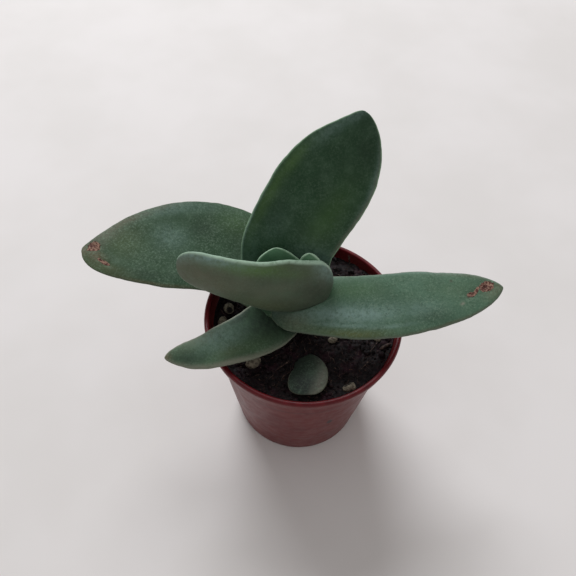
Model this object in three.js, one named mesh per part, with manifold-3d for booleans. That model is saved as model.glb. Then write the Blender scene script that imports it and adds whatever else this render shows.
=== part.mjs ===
// Potted propeller plant: a young sickle-leaved succulent in a small tapered nursery pot.
// Millimetres, +Z up, origin at the centre of the pot's underside, on its axis. The front of the plant faces -Y.
// Each leaf, the stem, the soil, the loose grains and the pot are separate closed solids.
import * as THREE from "three";
import { mergeVertices } from "three/addons/utils/BufferGeometryUtils.js";
import Module from "manifold-3d";

const wasm = await Module();
wasm.setup();

// Driving dimensions of the pot
const POT_HEIGHT = 48;
const RIM_RADIUS = 27.5;
const LIP_WIDTH = 1.5;
const COLLAR_HEIGHT = 4.2;
const COLLAR_FOOT_RADIUS = 26.8;
const SHOULDER_RADIUS = 25.3;
const FOOT_RADIUS = 19.8;
const WALL = 0.9;
const EDGE_ROUNDING = 0.4;
const STACKING_RING_Z = 11;
const STACKING_RING_STEP = 0.25;
const FOOT_RECESS = 1.2;
const FOOT_RING_WIDTH = 1.8;
const FOOT_DRAFT = 0.5;
const PAD_RADIUS = 5;
const FLOOR_THICKNESS = 1.1;
const DRAIN_HOLES = 6;
const DRAIN_RADIUS = 2.2;
const DRAIN_CIRCLE = 11.5;
const POT_SIDES = 64;

// Driving dimensions of the planting
const CLEARANCE = 0.3;
const SOIL_Z = 43.5;
const SOIL_TILT = 0.03;
const SOIL_RELIEF = 0.8;
const SOIL_BANK_WIDTH = 6;
const SOIL_BANK_RISE = 0.9;
const SOIL_RINGS = 20;
const STEM_CENTRE = [-2, 2];
const STEM_ROOT_Z = 26;
const STEM_TOP_Z = 60;
const STEM_RADIUS = 3.8;

// Leaves, outermost first. The midline runs from inside the stem to the tip. right and left are the widths at even
// steps to either side of it, seen from the stem with the upper face up. tip is how late and how bluntly they close.
// cup is how far the margins rise, as a share of the width. faceBase and faceTip are the directions that the upper
// face looks in, at the stem and at the tip.
const LEAVES = {
  leaf_old: {
    midline: [[-1.5, 0, 41.5], [0, -9, 41.2], [1.9, -15.2, 45.3], [1.6, -23.4, 46]],
    right: [2, 2.6, 3.8, 5.4, 7.4],
    left: [2, 2.2, 3.3, 5, 5.2],
    tip: [9, 0.4],
    thick: 2.8,
    cup: -0.06,
    faceBase: [-0.1, 0, 1],
    faceTip: [-0.15, -0.1, 0.98],
  },
  leaf_low: {
    midline: [[-3, 1, 46.5], [-13.5, -8, 50.5], [-24, -15.1, 52], [-35.2, -17.8, 52]],
    right: [5.6, 7, 5.7, 5.4, 4.6, 4.4],
    left: [5, 7.1, 7.1, 5.4, 4.8, 4],
    tip: [5.5, 0.65],
    thick: 3.4,
    cup: 0.1,
    faceBase: [-0.1, -0.35, 0.9],
    faceTip: [0.1, -0.3, 0.95],
  },
  leaf_left: {
    midline: [[-1, 0.5, 50], [-20, 15, 54.5], [-40, 12.2, 59.5], [-59.8, 7.6, 62]],
    right: [8.5, 11.7, 13.9, 13.6, 10.1, 4.4],
    left: [8.4, 11.4, 13.5, 12.9, 11.3, 9.6],
    tip: [7, 0.45],
    thick: 3.6,
    cup: 0.06,
    faceBase: [0.1, -0.25, 0.95],
    faceTip: [0.05, -0.2, 0.95],
  },
  leaf_right: {
    midline: [[-9.5, 0.3, 50.8], [13, -2.4, 56.3], [32, -1.4, 59.7], [51.1, 1.7, 62]],
    right: [6.3, 8, 9.3, 9.1, 8.2, 7.8],
    left: [6.7, 8.4, 8.3, 8.2, 7.2, 7],
    tip: [7, 0.75],
    thick: 3.8,
    cup: 0.05,
    faceBase: [0, -0.3, 0.95],
    faceTip: [0, -0.2, 0.95],
  },
  leaf_back: {
    midline: [[-2.5, 4, 53], [-5, 9.3, 67], [4.8, 18.6, 81], [11.9, 27.4, 95.6]],
    right: [8.2, 11.6, 12.1, 11.8, 11, 8.7],
    left: [8.5, 11.9, 11.8, 13.1, 11.4, 4.9],
    tip: [7.5, 0.55],
    thick: 3.4,
    cup: 0.08,
    faceBase: [0, -0.85, 0.5],
    faceTip: [-0.1, -0.85, 0.5],
  },
  leaf_front: {
    midline: [[7, 2.4, 61.3], [-4.5, -1.5, 61.7], [-18, -2.9, 65.7], [-32.9, 0.5, 67.7]],
    right: [6.1, 8.6, 8.5, 7.2, 7.2, 9],
    left: [5.9, 8.1, 9.2, 7.3, 6.9, 7],
    tip: [9, 0.4],
    thick: 3.8,
    cup: 0.08,
    faceBase: [-0.3, 0.93, -0.2],
    faceTip: [0.1, 0.97, -0.1],
  },
  leaf_inner_left: {
    midline: [[-3, 2.5, 54], [-6, 2.8, 60], [-8, 4, 65.5], [-8.4, 4.5, 70.6]],
    right: [4.5, 5.9, 6.5, 6.5, 6],
    left: [4.5, 5.9, 6.5, 6.5, 6],
    tip: [4, 0.6],
    thick: 2.4,
    cup: 0.12,
    faceBase: [0.2, -0.95, 0.2],
    faceTip: [0.2, -0.95, 0.2],
  },
  leaf_inner_right: {
    midline: [[0, 2, 54], [0.8, 2.4, 58.5], [0.8, 3, 63.5], [0.3, 4, 69.8]],
    right: [3.5, 4.2, 4.5, 4.4, 4.2],
    left: [3.5, 4.2, 4.5, 4.4, 4.2],
    tip: [4, 0.6],
    thick: 2.2,
    cup: 0.12,
    faceBase: [0, 0.95, 0.2],
    faceTip: [0, 0.95, 0.2],
  },
};
// Share of a leaf's length over which its base is rounded off
const LEAF_BASE_LENGTH = 0.1;
const LEAF_STEPS = 20;
const LEAF_SIDES = 18;
const UPPER_SHARE = 0.4;

// Loose pale grains that lie half sunk in the soil: centre, and half-sizes along the grain's own axes
const GRAINS = {
  grain_left: { centre: [-13.1, -13.9, 44.6], half: [2.1, 1.7, 1.4], turn: 0.5 },
  grain_front: { centre: [12.5, -20.1, 44.7], half: [2, 1.3, 1.4], turn: 0.4 },
  grain_side: { centre: [-21.2, 3.2, 44.5], half: [1.4, 1.8, 1.3], turn: 0.2 },
  grain_edge: { centre: [-22.6, -1.2, 44.6], half: [1.5, 1, 1], turn: 1.2 },
  grain_right: { centre: [20.6, -4.6, 44.6], half: [1.5, 1, 1], turn: 2.2 },
  grain_under: { centre: [8.3, -5.5, 44], half: [1.3, 0.9, 0.9], turn: 0.3 },
};

const mergedOf = (geometry) => {
  const bare = geometry.clone();
  bare.deleteAttribute("normal");
  bare.deleteAttribute("uv");
  return mergeVertices(bare, 1e-4);
};

const solidOf = (geometry) => {
  const merged = mergedOf(geometry);
  return new wasm.Manifold(
    new wasm.Mesh({
      numProp: 3,
      vertProperties: merged.attributes.position.array,
      triVerts: new Uint32Array(merged.index.array),
    }),
  );
};

const geometryOf = (solid) => {
  const mesh = solid.getMesh();
  const geometry = new THREE.BufferGeometry();
  geometry.setAttribute("position", new THREE.BufferAttribute(mesh.vertProperties, 3));
  geometry.setIndex(new THREE.BufferAttribute(mesh.triVerts, 1));
  geometry.computeVertexNormals();
  return geometry;
};

// Keeps the largest body of a solid that a cut has left in pieces.
const largestOf = (solid) =>
  solid.decompose().reduce((best, next) => (next.volume() > best.volume() ? next : best));

// A solid of revolution about +Z from [radius, height] pairs that start and end on the axis.
const turned = (profile, sides) => {
  const lathe = new THREE.LatheGeometry(
    profile.map(([radius, height]) => new THREE.Vector2(radius, height)),
    sides,
  );
  return lathe.rotateX(Math.PI / 2);
};

const lerp = (a, b, t) => a + (b - a) * t;
const smoothstep = (x, low, high) => {
  const t = Math.min(Math.max((x - low) / (high - low), 0), 1);
  return t * t * (3 - 2 * t);
};

// Repeatable noise in 0..1 at whole-number points, and its smooth blend between them.
const hash = (x, y) => {
  const s = Math.sin(x * 127.1 + y * 311.7) * 43758.5453;
  return s - Math.floor(s);
};
const noise = (x, y) => {
  const [i, j] = [Math.floor(x), Math.floor(y)];
  const [u, v] = [x - i, y - j].map((f) => f * f * (3 - 2 * f));
  return lerp(lerp(hash(i, j), hash(i + 1, j), u), lerp(hash(i, j + 1), hash(i + 1, j + 1), u), v);
};

// Heights and inside radii that the pot and the soil share
const COLLAR_Z = POT_HEIGHT - COLLAR_HEIGHT;
const FLOOR_Z = FOOT_RECESS + FLOOR_THICKNESS;
const COLLAR_INSIDE_RADIUS = COLLAR_FOOT_RADIUS - WALL - 0.3;

// Outer radius of the pot's tapered wall at a height below the collar
const wallRadius = (z) => lerp(FOOT_RADIUS, SHOULDER_RADIUS, z / COLLAR_Z);

const potSolid = () => {
  const ringInside = FOOT_RADIUS - FOOT_RING_WIDTH;
  const outer = [
    [0, 0],
    [PAD_RADIUS, 0],
    [PAD_RADIUS + FOOT_DRAFT, FOOT_RECESS],
    [ringInside - FOOT_DRAFT, FOOT_RECESS],
    [ringInside, 0],
    [FOOT_RADIUS - EDGE_ROUNDING, 0],
    [FOOT_RADIUS, EDGE_ROUNDING],
    [wallRadius(STACKING_RING_Z) - STACKING_RING_STEP, STACKING_RING_Z - 0.6],
    [wallRadius(STACKING_RING_Z), STACKING_RING_Z],
    [SHOULDER_RADIUS, COLLAR_Z - 0.3],
    [COLLAR_FOOT_RADIUS - 0.3, COLLAR_Z],
    [COLLAR_FOOT_RADIUS, COLLAR_Z + EDGE_ROUNDING],
    [RIM_RADIUS, POT_HEIGHT - 0.7],
    [RIM_RADIUS - 0.35, POT_HEIGHT - 0.1],
    [RIM_RADIUS - LIP_WIDTH / 2, POT_HEIGHT],
  ];
  const inner = [
    [RIM_RADIUS - LIP_WIDTH + 0.2, POT_HEIGHT - 0.15],
    [RIM_RADIUS - LIP_WIDTH, POT_HEIGHT - 0.7],
    [COLLAR_INSIDE_RADIUS, COLLAR_Z + 0.9],
    [SHOULDER_RADIUS - WALL, COLLAR_Z - 0.6],
    [wallRadius(FLOOR_Z) - WALL - FOOT_DRAFT, FLOOR_Z],
    [0, FLOOR_Z],
  ];
  const shell = solidOf(turned([...outer, ...inner], POT_SIDES));
  const drill = new THREE.CylinderGeometry(DRAIN_RADIUS, DRAIN_RADIUS, 4 * FLOOR_THICKNESS, 16);
  drill.rotateX(Math.PI / 2);
  let pot = shell;
  for (let i = 0; i < DRAIN_HOLES; i += 1) {
    const angle = (2 * Math.PI * i) / DRAIN_HOLES;
    const [x, y] = [DRAIN_CIRCLE * Math.cos(angle), DRAIN_CIRCLE * Math.sin(angle)];
    pot = pot.subtract(solidOf(drill.clone().translate(x, y, FOOT_RECESS)));
  }
  return pot;
};

// Height of the soil's crumbled surface: uneven all over, and banked up where it meets the pot
const soilHeight = (x, y) => {
  const coarse = 1.6 * noise(x / 9 + 3, y / 9);
  const middling = 1.2 * noise(x / 3.1, y / 3.1 + 8);
  const fine = 0.9 * noise(x / 1.3 + 5, y / 1.3);
  const bank = smoothstep(Math.hypot(x, y), SHOULDER_RADIUS - SOIL_BANK_WIDTH, SHOULDER_RADIUS);
  const crumbs = SOIL_RELIEF * (1 - 0.6 * bank) * (coarse + middling + fine - 1.85);
  return SOIL_Z + SOIL_TILT * x + SOIL_BANK_RISE * bank + crumbs;
};

const soilSolid = () => {
  const bottom = FLOOR_Z + CLEARANCE;
  const insideAt = (z) => wallRadius(z) - WALL - CLEARANCE - 0.2;
  const edge = COLLAR_INSIDE_RADIUS - CLEARANCE - 0.1;
  const profile = [
    [0, bottom],
    [insideAt(bottom) - 0.6, bottom],
    [insideAt(COLLAR_Z), COLLAR_Z - 0.8],
    [edge - 0.5, COLLAR_Z + 0.5],
  ];
  for (let i = 0; i <= SOIL_RINGS; i += 1) profile.push([edge * (1 - i / SOIL_RINGS), POT_HEIGHT]);
  const geometry = turned(profile, POT_SIDES);
  const position = geometry.getAttribute("position");
  for (let i = 0; i < position.count; i += 1) {
    if (Math.abs(position.getZ(i) - POT_HEIGHT) > 1e-3) continue;
    position.setZ(i, soilHeight(position.getX(i), position.getY(i)));
  }
  return solidOf(geometry);
};

// An irregular rounded grain, grown all over for cutting its hollow in the soil
const grainSolid = (grain, grow = 0) => {
  const geometry = mergedOf(new THREE.IcosahedronGeometry(1, 1));
  const position = geometry.getAttribute("position");
  const [cx, cy, cz] = grain.centre;
  const [ca, sa] = [Math.cos(grain.turn), Math.sin(grain.turn)];
  for (let i = 0; i < position.count; i += 1) {
    const lump = 0.82 + 0.36 * hash(i + cx, cy);
    const [u, v, w] = [position.getX(i), position.getY(i), position.getZ(i)];
    const x = u * (grain.half[0] * lump + grow);
    const y = v * (grain.half[1] * lump + grow);
    const z = w * (grain.half[2] * lump + grow);
    position.setXYZ(i, cx + x * ca - y * sa, cy + x * sa + y * ca, cz + z);
  }
  return solidOf(geometry);
};

const stemSolid = (grow = 0) => {
  const [x, y] = STEM_CENTRE;
  const profile = [
    [0, STEM_ROOT_Z - grow],
    [1.0 + grow, STEM_ROOT_Z + 1],
    [2.2 + grow, STEM_ROOT_Z + 8],
    [STEM_RADIUS - 0.5 + grow, SOIL_Z - 3],
    [STEM_RADIUS + grow, SOIL_Z + 2],
    [STEM_RADIUS + 0.5 + grow, STEM_TOP_Z - 12],
    [STEM_RADIUS + grow, STEM_TOP_Z - 7],
    [2.4 + grow, STEM_TOP_Z - 3],
    [1.1 + grow, STEM_TOP_Z - 0.6],
    [0, STEM_TOP_Z + grow],
  ];
  return solidOf(turned(profile, 20).translate(x, y, 0));
};

// Smooth run of values at even steps, for a leaf's width
const smoothed = (values, t) => {
  const at = Math.min(t, 1) * (values.length - 1);
  const i = Math.min(Math.floor(at), values.length - 2);
  const [b, c] = [values[i], values[i + 1]];
  const a = i > 0 ? values[i - 1] : 2 * b - c;
  const d = i + 2 < values.length ? values[i + 2] : 2 * c - b;
  const u = at - i;
  const square = 2 * a - 5 * b + 4 * c - d;
  const cube = 3 * b - a - 3 * c + d;
  return 0.5 * (2 * b + (c - a) * u + square * u ** 2 + cube * u ** 3);
};

// A fleshy leaf: rounded sections along its midline, thickest near the stem, with the upper face flatter than the
// lower one. grow widens it all over, for cutting the room that it needs out of a neighbour.
const leafGeometry = (leaf, grow = 0) => {
  const curve = new THREE.CatmullRomCurve3(
    leaf.midline.map((p) => new THREE.Vector3(...p)),
    false,
    "catmullrom",
    0.5,
  );
  const [tipLength, tipBluntness] = leaf.tip;
  const faceBase = new THREE.Vector3(...leaf.faceBase);
  const faceTip = new THREE.Vector3(...leaf.faceTip);
  const positions = [];
  const index = [];
  const lastStep = LEAF_STEPS - 1;
  for (let i = 0; i < LEAF_STEPS; i += 1) {
    const t = 1 - (1 - i / lastStep) ** 1.25;
    const at = Math.min(Math.max(t, 0.005), 0.995);
    const base = Math.sqrt(1 - (1 - Math.min(at / LEAF_BASE_LENGTH, 1)) ** 2);
    const centre = curve.getPoint(at);
    const along = curve.getTangent(at);
    const face = faceBase.clone().lerp(faceTip, at);
    face.addScaledVector(along, -face.dot(along)).normalize();
    const side = along.clone().cross(face);
    const taper = (1 - at ** tipLength) ** tipBluntness;
    const right = smoothed(leaf.right, at) * taper * base + grow;
    const left = smoothed(leaf.left, at) * taper * base + grow;
    const thick = leaf.thick * lerp(1.15, 0.6, at) * (1 - at ** 8) ** 0.5 * base;
    for (let k = 0; k < LEAF_SIDES; k += 1) {
      const angle = (2 * Math.PI * k) / LEAF_SIDES;
      const [c, s] = [Math.cos(angle), Math.sin(angle)];
      const half = c > 0 ? right : left;
      const u = Math.sign(c) * Math.abs(c) ** 0.85;
      const bulge = (s > 0 ? UPPER_SHARE : 1 - UPPER_SHARE) * thick + grow;
      const rise = bulge * Math.sign(s) * Math.abs(s) ** 0.85 + leaf.cup * half * u * u;
      const point = centre.clone().addScaledVector(side, half * u).addScaledVector(face, rise);
      positions.push(point.x, point.y, point.z);
    }
  }
  const around = (i, k) => i * LEAF_SIDES + (k % LEAF_SIDES);
  for (let i = 0; i < lastStep; i += 1)
    for (let k = 0; k < LEAF_SIDES; k += 1) {
      const [a, b, c, d] = [around(i, k), around(i, k + 1), around(i + 1, k + 1), around(i + 1, k)];
      index.push(a, c, b, a, d, c);
    }
  for (const [t, ring, turn] of [[0, 0, 1], [1, lastStep, -1]]) {
    const end = curve.getPoint(t);
    const pole = positions.length / 3;
    positions.push(end.x, end.y, end.z);
    for (let k = 0; k < LEAF_SIDES; k += 1) {
      const pair = [around(ring, k), around(ring, k + 1)];
      if (turn < 0) pair.reverse();
      index.push(pole, ...pair);
    }
  }
  const geometry = new THREE.BufferGeometry();
  geometry.setAttribute("position", new THREE.Float32BufferAttribute(positions, 3));
  geometry.setIndex(index);
  return geometry;
};

const leafSolid = (leaf, grow) => solidOf(leafGeometry(leaf, grow));

const group = new THREE.Group();
const add = (name, solid, color, roughness) => {
  const material = new THREE.MeshStandardMaterial({ color, roughness, metalness: 0 });
  const mesh = new THREE.Mesh(geometryOf(solid), material);
  mesh.name = name;
  group.add(mesh);
};

const POT_COLOUR = 0x7a3f3f;
const SOIL_COLOUR = 0x1c1513;
const STEM_COLOUR = 0x6f7f5a;
const LEAF_COLOUR = 0x4c6b54;
const GRAIN_COLOUR = 0xb9ad93;

// The soil leaves room for the stem, the low leaf that lies on it and the grains.
const stemRoom = stemSolid(CLEARANCE);
let soil = soilSolid().subtract(stemRoom).subtract(leafSolid(LEAVES.leaf_old, CLEARANCE));
for (const grain of Object.values(GRAINS)) soil = soil.subtract(grainSolid(grain, CLEARANCE));
add("pot", potSolid(), POT_COLOUR, 0.45);
add("soil", largestOf(soil), SOIL_COLOUR, 0.95);
add("stem", stemSolid(), STEM_COLOUR, 0.7);

// Each leaf leaves room for the stem and for the younger leaves inside it.
const leafNames = Object.keys(LEAVES);
leafNames.forEach((name, i) => {
  let leaf = leafSolid(LEAVES[name]).subtract(stemRoom);
  for (const younger of leafNames.slice(i + 1)) leaf = leaf.subtract(leafSolid(LEAVES[younger], CLEARANCE));
  add(name, largestOf(leaf), LEAF_COLOUR, 0.6);
});
for (const [name, grain] of Object.entries(GRAINS)) add(name, grainSolid(grain), GRAIN_COLOUR, 0.9);

export default group;
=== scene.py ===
"""Looks of a potted propeller plant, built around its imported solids.

Shapes are worked out in millimetres in the part's own frame and scaled to metres when a mesh is made.
"""

import math

import bmesh
import bpy
import numpy as np
from mathutils import Matrix, Vector
from mathutils.bvhtree import BVHTree


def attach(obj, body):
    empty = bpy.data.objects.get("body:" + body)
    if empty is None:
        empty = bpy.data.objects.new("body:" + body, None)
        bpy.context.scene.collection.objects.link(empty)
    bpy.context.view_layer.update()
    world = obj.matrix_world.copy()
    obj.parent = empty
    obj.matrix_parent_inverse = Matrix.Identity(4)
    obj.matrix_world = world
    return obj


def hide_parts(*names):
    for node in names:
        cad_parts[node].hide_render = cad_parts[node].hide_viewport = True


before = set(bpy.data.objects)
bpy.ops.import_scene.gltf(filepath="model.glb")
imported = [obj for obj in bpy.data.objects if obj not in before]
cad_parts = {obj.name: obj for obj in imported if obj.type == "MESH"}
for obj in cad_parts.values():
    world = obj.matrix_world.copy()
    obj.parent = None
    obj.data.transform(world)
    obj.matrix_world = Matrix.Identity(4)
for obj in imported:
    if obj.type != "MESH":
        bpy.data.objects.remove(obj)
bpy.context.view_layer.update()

MM = 0.001
# Clearance in millimetres between pieces that are cut out of each other
GAP = 0.08
SEED = 20
# Edges of a cut piece that are sharper than this, in degrees, are shaded sharp
SHARP_ANGLE = 50

# Dimensions of the solids, in millimetres
POT_HEIGHT = 48.0
RIM_RADIUS = 27.5
LIP_WIDTH = 1.5
COLLAR_Z = 43.8
COLLAR_FOOT_RADIUS = 26.8
COLLAR_INSIDE_RADIUS = 25.6
SHOULDER_RADIUS = 25.3
FOOT_RADIUS = 19.8
WALL = 0.9
EDGE_ROUNDING = 0.4
STACKING_RING_Z = 11.0
STACKING_RING_STEP = 0.25
FOOT_RECESS = 1.2
FOOT_RING_WIDTH = 1.8
FOOT_DRAFT = 0.5
FLOOR_Z = 2.3
PAD_RADIUS = 5.0
DRAIN_HOLES = 6
DRAIN_RADIUS = 2.2
DRAIN_CIRCLE = 11.5
SOIL_Z = 43.5
SOIL_TILT = 0.03
SOIL_RELIEF = 0.8
SOIL_BANK_WIDTH = 6
SOIL_BANK_RISE = 0.9
STEM_CENTRE = (-2.0, 2.0)
STEM_ROOT_Z = 26
STEM_TOP_Z = 60.0
STEM_RADIUS = 3.8

LEAF_STEPS = 150
LEAF_SIDES = 84
# Steps and sides of the plain leaf that cuts room for itself out of the older ones
ROOM_STEPS = 60
ROOM_SIDES = 40
# Share of a leaf's length over which its base is rounded off, and of its thickness that is on its upper face
LEAF_BASE_LENGTH = 0.1
UPPER_SHARE = 0.4
# How much fuller than an ellipse a leaf's section is
SECTION_POWER = 0.85

# Leaves, outermost first, as the solids have them. right and left are the widths at even steps to either
# side of the midline, tip is how late and how bluntly they close, cup is how far the margins rise, and face
# is where the upper face looks, at the stem and at the tip. The widths and tips of leaf_low, leaf_left,
# leaf_right, leaf_back and leaf_front come from a fit to the leaf margins in the photo, made by a separate
# script. Two widths of leaf_low were then changed, and the other leaves' widths and tips were chosen.
LEAVES = {
    "leaf_old": {
        "midline": [(-1.5, 0, 41.5), (0, -9, 41.2), (1.9, -15.2, 45.3), (1.6, -23.4, 46)],
        "right": [2, 2.6, 3.8, 5.4, 7.4],
        "left": [2, 2.2, 3.3, 5, 5.2],
        "tip": (9, 0.4),
        "thick": 2.8,
        "cup": -0.06,
        "face": [(-0.1, 0, 1), (-0.15, -0.1, 0.98)],
    },
    "leaf_low": {
        "midline": [(-3, 1, 46.5), (-13.5, -8, 50.5), (-24, -15.1, 52), (-35.2, -17.8, 52)],
        "right": [5.6, 7, 5.7, 5.4, 4.6, 4.4],
        "left": [5, 7.1, 7.1, 5.4, 4.8, 4],
        "tip": (5.5, 0.65),
        "thick": 3.4,
        "cup": 0.1,
        "face": [(-0.1, -0.35, 0.9), (0.1, -0.3, 0.95)],
    },
    "leaf_left": {
        "midline": [(-1, 0.5, 50), (-20, 15, 54.5), (-40, 12.2, 59.5), (-59.8, 7.6, 62)],
        "right": [8.5, 11.7, 13.9, 13.6, 10.1, 4.4],
        "left": [8.4, 11.4, 13.5, 12.9, 11.3, 9.6],
        "tip": (7, 0.45),
        "thick": 3.6,
        "cup": 0.06,
        "face": [(0.1, -0.25, 0.95), (0.05, -0.2, 0.95)],
    },
    "leaf_right": {
        "midline": [(-9.5, 0.3, 50.8), (13, -2.4, 56.3), (32, -1.4, 59.7), (51.1, 1.7, 62)],
        "right": [6.3, 8, 9.3, 9.1, 8.2, 7.8],
        "left": [6.7, 8.4, 8.3, 8.2, 7.2, 7],
        "tip": (7, 0.75),
        "thick": 3.8,
        "cup": 0.05,
        "face": [(0, -0.3, 0.95), (0, -0.2, 0.95)],
    },
    "leaf_back": {
        "midline": [(-2.5, 4, 53), (-5, 9.3, 67), (4.8, 18.6, 81), (11.9, 27.4, 95.6)],
        "right": [8.2, 11.6, 12.1, 11.8, 11, 8.7],
        "left": [8.5, 11.9, 11.8, 13.1, 11.4, 4.9],
        "tip": (7.5, 0.55),
        "thick": 3.4,
        "cup": 0.08,
        "face": [(0, -0.85, 0.5), (-0.1, -0.85, 0.5)],
    },
    "leaf_front": {
        "midline": [(7, 2.4, 61.3), (-4.5, -1.5, 61.7), (-18, -2.9, 65.7), (-32.9, 0.5, 67.7)],
        "right": [6.1, 8.6, 8.5, 7.2, 7.2, 9],
        "left": [5.9, 8.1, 9.2, 7.3, 6.9, 7],
        "tip": (9, 0.4),
        "thick": 3.8,
        "cup": 0.08,
        "face": [(-0.3, 0.93, -0.2), (0.1, 0.97, -0.1)],
    },
    "leaf_inner_left": {
        "midline": [(-3, 2.5, 54), (-6, 2.8, 60), (-8, 4, 65.5), (-8.4, 4.5, 70.6)],
        "right": [4.5, 5.9, 6.5, 6.5, 6],
        "left": [4.5, 5.9, 6.5, 6.5, 6],
        "tip": (4, 0.6),
        "thick": 2.4,
        "cup": 0.12,
        "face": [(0.2, -0.95, 0.2), (0.2, -0.95, 0.2)],
    },
    "leaf_inner_right": {
        "midline": [(0, 2, 54), (0.8, 2.4, 58.5), (0.8, 3, 63.5), (0.3, 4, 69.8)],
        "right": [3.5, 4.2, 4.5, 4.4, 4.2],
        "left": [3.5, 4.2, 4.5, 4.4, 4.2],
        "tip": (4, 0.6),
        "thick": 2.2,
        "cup": 0.12,
        "face": [(0, 0.95, 0.2), (0, 0.95, 0.2)],
    },
}

# Loose grains: centre, half-sizes along the grain's own axes, turn, and the side that a dark hollow is on
GRAINS = {
    "grain_left": {"centre": (-13.1, -13.9, 44.6), "half": (2.1, 1.7, 1.4), "turn": 0.5},
    "grain_front": {
        "centre": (12.5, -20.1, 44.7),
        "half": (2.0, 1.3, 1.4),
        "turn": 0.4,
        "hollow": (-0.25, 0.75, 0.6),
    },
    "grain_side": {
        "centre": (-21.2, 3.2, 44.5),
        "half": (1.4, 1.8, 1.3),
        "turn": 0.2,
        "hollow": (0.1, -0.75, 0.65),
    },
    "grain_edge": {"centre": (-22.6, -1.2, 44.6), "half": (1.5, 1.0, 1.0), "turn": 1.2},
    "grain_right": {"centre": (20.6, -4.6, 44.6), "half": (1.5, 1.0, 1.0), "turn": 2.2},
    "grain_under": {"centre": (8.3, -5.5, 44.0), "half": (1.3, 0.9, 0.9), "turn": 0.3},
}


# Numbers that repeat on every run


def hashed(i, j, k, seed):
    """Values in 0..1 that look random, at whole-number points."""
    n = (i * 73856093) ^ (j * 19349663) ^ (k * 83492791) ^ (seed * 2654435761)
    n = n & 0xFFFFFFFF
    n = ((n ^ (n >> 15)) * 2246822519) & 0xFFFFFFFF
    n = ((n ^ (n >> 13)) * 3266489917) & 0xFFFFFFFF
    return ((n ^ (n >> 16)) & 0xFFFFFF) / 0xFFFFFF


def noise(points, size, seed):
    """Smooth noise in -1..1 with features of about size, at each row of points."""
    scaled = np.asarray(points, float) / size + 1000.0
    cell = np.floor(scaled).astype(np.int64)
    f = scaled - cell
    f = f * f * f * (f * (f * 6 - 15) + 10)
    total = 0.0
    for dx in (0, 1):
        for dy in (0, 1):
            for dz in (0, 1):
                corner = hashed(cell[..., 0] + dx, cell[..., 1] + dy, cell[..., 2] + dz, seed)
                weight = np.where(dx, f[..., 0], 1 - f[..., 0])
                weight = weight * np.where(dy, f[..., 1], 1 - f[..., 1])
                weight = weight * np.where(dz, f[..., 2], 1 - f[..., 2])
                total = total + weight * corner
    return total * 2 - 1


def smoothstep(x, low, high):
    t = np.clip((x - low) / (high - low), 0, 1)
    return t * t * (3 - 2 * t)


def spline(values, t):
    """A smooth run through values at even steps, for t from 0 to 1."""
    values = np.asarray(values, float)
    last = len(values) - 1
    padded = np.concatenate([[2 * values[0] - values[1]], values, [2 * values[-1] - values[-2]]])
    at = np.clip(t, 0, 1) * last
    i = np.minimum(at.astype(int), last - 1)
    u = at - i
    if values.ndim > 1:
        u = u[:, None]
    a, b, c, d = padded[i], padded[i + 1], padded[i + 2], padded[i + 3]
    square = 2 * a - 5 * b + 4 * c - d
    cube = 3 * b - a - 3 * c + d
    return 0.5 * (2 * b + (c - a) * u + square * u**2 + cube * u**3)


def unit(vectors):
    return vectors / np.linalg.norm(vectors, axis=-1, keepdims=True)


# Meshes


def mesh_object(name, points, faces, values=None):
    """A mesh object from points in millimetres, with a number for each point under each name in values."""
    mesh = bpy.data.meshes.new(name)
    mesh.from_pydata((np.asarray(points) * MM).tolist(), [], faces)
    for key, numbers in (values or {}).items():
        attribute = mesh.attributes.new(key, "FLOAT", "POINT")
        attribute.data.foreach_set("value", np.asarray(numbers, np.float32).ravel())
    mesh.validate()
    mesh.shade_smooth()
    made = bpy.data.objects.new(name, mesh)
    bpy.context.scene.collection.objects.link(made)
    return made


def ring_faces(rings, sides):
    """Faces of a tube whose points run ring by ring, closed by one pole point at each end."""
    i, k = np.meshgrid(np.arange(rings - 1), np.arange(sides), indexing="ij")
    a, b = i * sides + k, i * sides + (k + 1) % sides
    quads = np.stack([a, a + sides, b + sides, b], -1).reshape(-1, 4).tolist()
    start, end = rings * sides, rings * sides + 1
    last = (rings - 1) * sides
    for j in range(sides):
        after = (j + 1) % sides
        quads.append((start, j, after))
        quads.append((end, last + after, last + j))
    return quads


def turned_points(profile, sides, centre=(0.0, 0.0)):
    """Points of a solid of revolution whose profile starts and ends on the axis."""
    profile = np.asarray(profile, float)
    angle = 2 * np.pi * np.arange(sides) / sides
    inner = profile[1:-1]
    x = centre[0] + inner[:, :1] * np.cos(angle)
    y = centre[1] + inner[:, :1] * np.sin(angle)
    z = np.repeat(inner[:, 1:], sides, axis=1)
    rings = np.stack([x, y, z], -1)
    ends = [(centre[0], centre[1], profile[0, 1]), (centre[0], centre[1], profile[-1, 1])]
    return rings, np.array(ends)


def face_out(made):
    """Turns a closed mesh's faces to look outwards."""
    work = bmesh.new()
    work.from_mesh(made.data)
    bmesh.ops.recalc_face_normals(work, faces=work.faces)
    if work.calc_volume(signed=True) < 0:
        bmesh.ops.reverse_faces(work, faces=work.faces)
    work.to_mesh(made.data)
    work.free()
    return made


def unit_ball(subdivisions):
    """Points and triangles of a ball with a radius of 1."""
    ball = bmesh.new()
    bmesh.ops.create_icosphere(ball, subdivisions=subdivisions, radius=1)
    points = np.array([v.co for v in ball.verts])
    triangles = np.array([[v.index for v in f.verts] for f in ball.faces])
    ball.free()
    return points, triangles


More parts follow.
